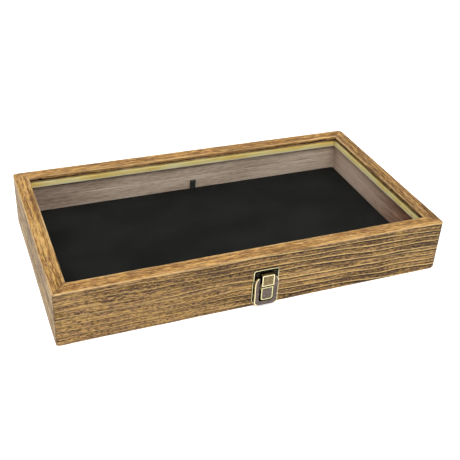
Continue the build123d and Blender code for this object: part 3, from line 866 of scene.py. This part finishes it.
def box_outline(out, height):
    return [(out[0], height[0]), (out[1], height[0]), (out[1], height[1]), (out[0], height[1])]


def sheet_pair(outline, outer, rubbed):
    """A sheet of (mm outwards, mm high) points just inside the given half width, on either side."""
    outline = [(out * MM, height * MM) for out, height in outline]
    return [bevelled_prism(outline, sorted((side * outer, side * (outer - SHEET))), rubbed)
            for side in (1, -1)]


def metal_piece(name, parts, body, nodes, material):
    verts, faces = join([(p[0], p[1]) for p in parts])
    wear = [w for p in parts for w in p[2]]
    piece = new_piece(name, verts, faces, body, nodes, METAL_CREASE)
    point_attribute(piece, "wear", wear)
    piece.data.materials.append(material)
    return piece


def offset_inwards(outline, inset):
    """An anticlockwise outline drawn in by the same distance all round, with mitred corners."""
    points = np.array(outline)
    before = points - np.roll(points, 1, axis=0)
    after = np.roll(points, -1, axis=0) - points
    before /= np.linalg.norm(before, axis=1)[:, None]
    after /= np.linalg.norm(after, axis=1)[:, None]
    inwards = np.stack([-(before + after)[:, 1], (before + after)[:, 0]], 1)
    inwards /= np.linalg.norm(inwards, axis=1)[:, None]
    reach = inwards[:, 0] * -after[:, 1] + inwards[:, 1] * after[:, 0]
    return points + inwards * (inset / np.maximum(reach, 0.5))[:, None]


def outlined_plate(outline, levels):
    return ringed_plate(lambda inset: offset_inwards(outline, inset), levels)


def quarter_turn(cx, cz, radius, start, sweep=90, stretch=1.0):
    turns = [math.radians(start + sweep * k / ARC_STEPS) for k in range(ARC_STEPS + 1)]
    return [(cx + radius * math.cos(t), cz + radius * stretch * math.sin(t)) for t in turns]


def surround_outline(bottom, top, shoulder, tall=1.0):
    """The U that the two cheeks and the sill make, anticlockwise from the lower left."""
    foot, outer, inner, bend = CHEEK_FOOT, CHEEK_OUTER, CHEEK_INNER, SILL_CORNER
    points = quarter_turn(-outer + foot, bottom + foot, foot, 180)
    points += quarter_turn(outer - foot, bottom + foot, foot, 270)
    points += quarter_turn(outer - shoulder, top - shoulder * tall, shoulder, 0, stretch=tall)
    points += [(inner, top)]
    points += quarter_turn(inner - bend, SILL_TOP + bend, bend, 0, -90)
    points += quarter_turn(-inner + bend, SILL_TOP + bend, bend, 270, -90)
    points += [(-inner, top)]
    return points + quarter_turn(-outer + shoulder, top - shoulder * tall, shoulder, 90, stretch=tall)


def wear_with_painted_shade(part, inner):
    """The part with its wear cut as painted shade: on its right side, away from the light, and, by the given
    share, between the cheeks.
    """
    def share(x):
        if abs(x) < CHEEK_INNER + 1.0 * MM:
            return inner
        return 1.0 if x < 0 else 0.6

    verts, faces, wear = part
    return verts, faces, [w * share(vert[0] - LATCH_X) for vert, w in zip(verts, wear)]


def strike():
    plate = pressed_plate((-STRIKE_HALF, STRIKE_HALF), (strike_low.z, strike_high.z), NEAR_SQUARE,
                          STRIKE_ROUND, rimmed(0, PLATE, 0.85 * MM, 0.28 * MM))
    catch = bevelled_prism(box_outline((PLATE * 0.5, -HALF_Y - strike_low.y), (CATCH_LOW, CATCH_HIGH)),
                           (-CATCH_HALF, CATCH_HALF))
    # Painted shade: the strike's right rim is kept dim.
    metal_piece("strike_plate_brass", [wear_with_painted_shade(plate, 1.0), catch], "lid", ("strike_plate",), PLATE_BRASS)


def base():
    bottom, top = base_low.z, base_high.z
    seam = CASE_Z - 0.25 * MM
    plate = pressed_plate((-BASE_HALF, BASE_HALF), (bottom, seam), BASE_ROUND, NEAR_SQUARE,
                          rimmed(0, PLATE, 0.6 * MM, 0.2 * MM))
    face = outlined_plate(surround_outline(bottom, top, CHEEK_SHOULDER, 2.0),
                          rimmed(PLATE + 0.45 * MM, CHEEK_FACE, 0.95 * MM, 0.4 * MM, 0.3 * MM))
    # Painted shade: less brightening on the right cheek and between the cheeks.
    face = wear_with_painted_shade(face, 0.3)
    root_inset, root_wear = 0.1 * MM, 0.2
    root = outlined_plate(surround_outline(bottom, seam, NEAR_SQUARE),
                          [(root_inset, PLATE * 0.5, root_wear), (root_inset, PLATE + 0.6 * MM, root_wear)])
    metal_piece("base_plate_brass", [plate], "case", ("latch_base",), PLATE_BRASS)
    metal_piece("latch_surround_brass", [face, root], "case", (), CHEEK_BRASS)


def lever():
    back = LEVER_FACE_OUT - SHEET
    face = pressed_plate((-LEVER_HALF, LEVER_HALF), (lever_low.z, LEVER_TOP), LEVER_ROUND, 0.5 * MM,
                         rimmed(back, LEVER_FACE_OUT, 0.85 * MM, 0.22 * MM))
    ears = sheet_pair([(1.6, 24.0), (3.7, 24.0), (4.3, 21.8), (4.9, 21.6), (4.9, 12.0), (4.0, 12.0),
                       (3.2, 16.2), (2.4, 18.0), (1.1, 18.4), (1.1, 20.2), (1.5, 21.5)], LEVER_HALF, 0.45)
    metal_piece("latch_lever_brass", [face, *ears], "latch_lever", ("latch_lever",), LEVER_BRASS)


def link():
    back = LINK_FACE_OUT - LINK_SHEET
    face = pressed_plate((-LINK_HALF + LINK_SHIFT, LINK_HALF + LINK_SHIFT), (LINK_BOTTOM, link_high.z),
                         0.4 * MM, LINK_ROUND, rimmed(back, LINK_FACE_OUT, 0.9 * MM, 0.24 * MM))
    hook = bevelled_prism(box_outline((1.3 * MM, back + 0.2 * MM), (link_high.z - 1.0 * MM, link_high.z)),
                          (-LINK_HALF + 0.2 * MM, LINK_HALF - 0.2 * MM))
    # Painted shade: the arms' low wear keeps them dark, as they sit in shadow.
    arms = sheet_pair([(1.1, 18.5), (2.9, 18.3), (5.0, 20.6), (5.0, 26.5), (3.6, 26.5), (3.6, 21.0),
                       (3.0, 20.5), (1.1, 20.3)], ARM_OUTER, 0.05)
    metal_piece("latch_link_brass", [face, hook, *arms], "latch_link", ("latch_link",), LINK_BRASS)


def eased_copy(node, name, body, material):
    """A CAD piece's own shape with its sharp edges eased, for thin pressed metal."""
    bm = bmesh.new()
    bm.from_mesh(NODES[node].data)
    bmesh.ops.remove_doubles(bm, verts=bm.verts, dist=0.002 * MM)
    bmesh.ops.dissolve_limit(bm, angle_limit=math.radians(1), verts=bm.verts, edges=bm.edges)
    sharp = [e for e in bm.edges if len(e.link_faces) == 2 and e.calc_face_angle() > math.radians(40)]
    verts, faces = eased_mesh(bm, sharp, clamp_overlap=True)
    piece = new_piece(name, verts, faces, body, (node,), METAL_CREASE)
    piece.data.materials.append(material)
    return piece


def carry_over(node, material):
    """Keep a CAD piece as it is, with a finished material."""
    mesh = NODES[node].data
    mesh.materials.clear()
    mesh.materials.append(material)


def metalwork():
    strike()
    base()
    lever()
    link()
    for side in ("left", "right"):
        for body, leaf in (("lid", f"hinge_{side}_lid_leaf"), ("case", f"hinge_{side}_case_leaf")):
            eased_copy(leaf, f"{leaf}_brass", body, HINGE_BRASS)
        carry_over(f"hinge_{side}_pin", HINGE_BRASS)
    for node in ("strike_screws", "latch_base_screws"):
        carry_over(node, SCREW_BRASS)
    for node in ("hinge_lid_screws", "hinge_case_screws"):
        carry_over(node, HINGE_BRASS)
    for node in ("latch_pivot_pin", "latch_link_pin"):
        carry_over(node, INNER_BRASS)
    steel = wire_steel("brad_wire")
    for node in ("bottom_panel_brads", "bead_brads"):
        carry_over(node, steel)


# ---- camera, floor and lights

def set_camera():
    azimuth, elevation, roll = math.radians(-23.25), math.radians(32.88), math.radians(3.32)
    position = (-0.2509, -0.6062, 0.4402)
    sensor_mm, lens_mm = 36.0, 60.4
    back = Vector((math.sin(azimuth) * math.cos(elevation), -math.cos(azimuth) * math.cos(elevation),
                   math.sin(elevation)))
    right = Vector((math.cos(azimuth), math.sin(azimuth), 0))
    up = back.cross(right)
    level_right = right * math.cos(roll) + up * math.sin(roll)
    level_up = up * math.cos(roll) - right * math.sin(roll)
    turn = Matrix((level_right, level_up, back)).transposed()
    data = bpy.data.cameras.new("camera")
    data.sensor_width, data.lens = sensor_mm, lens_mm
    data.clip_start, data.clip_end = 0.01, 50
    camera = bpy.data.objects.new("camera", data)
    camera.matrix_world = Matrix.Translation(position) @ turn.to_4x4()
    bpy.context.scene.collection.objects.link(camera)
    bpy.context.scene.camera = camera


def floor():
    graph = Graph("pale_floor")
    vector = graph.place()
    grain = graph.noise(vector, (6, 6, 6), detail=2)
    colour = graph.ramp(grain, [(0.0, (0.93, 0.93, 0.93, 1)), (1.0, (0.96, 0.96, 0.96, 1))])
    graph.finish(Base_Color=colour, Roughness=0.9, Specular_IOR_Level=0.1, Emission_Color=(1, 1, 1, 1),
                 Emission_Strength=0.5)
    size, drop = 6.0, 0.0002
    mesh = bpy.data.meshes.new("floor")
    mesh.from_pydata([(-size, -size, -drop), (size, -size, -drop), (size, size, -drop), (-size, size, -drop)],
                     [], [(0, 1, 2, 3)])
    mesh.materials.append(graph.material)
    plane = bpy.data.objects.new("floor", mesh)
    bpy.context.scene.collection.objects.link(plane)


def soft_light(name, place, size, watts):
    """A white disc lamp that looks at the case."""
    data = bpy.data.lights.new(name, "AREA")
    data.shape, data.size, data.energy = "DISK", size, watts
    lamp = bpy.data.objects.new(name, data)
    lamp.location = place
    middle = Vector((0, 0, 0.03))
    lamp.rotation_euler = (middle - Vector(place)).to_track_quat("-Z", "Y").to_euler()
    bpy.context.scene.collection.objects.link(lamp)


def light():
    world = bpy.data.worlds.new("studio")
    world.use_nodes = True
    background = world.node_tree.nodes["Background"]
    background.inputs["Color"].default_value = (1.0, 1.0, 1.0, 1)
    background.inputs["Strength"].default_value = 0.6
    bpy.context.scene.world = world
    soft_light("key", place=(-0.9, 0.3, 2.1), size=1.4, watts=18)
    soft_light("fill", place=(0.1, -1.3, 2.0), size=1.4, watts=27)
    view = bpy.context.scene.view_settings
    view.view_transform, view.look = "Standard", "None"


set_camera()
lid_rails()
case_walls()
glass_beads()
velvet_pad()
pull_tab()
metalwork()
carry_over("lid_glass", clear_pane("clear_glass"))
BOARD = panel_board("brown_board")
for board in ("case_bottom_panel", "pad_board"):
    carry_over(board, BOARD)
floor()
light()
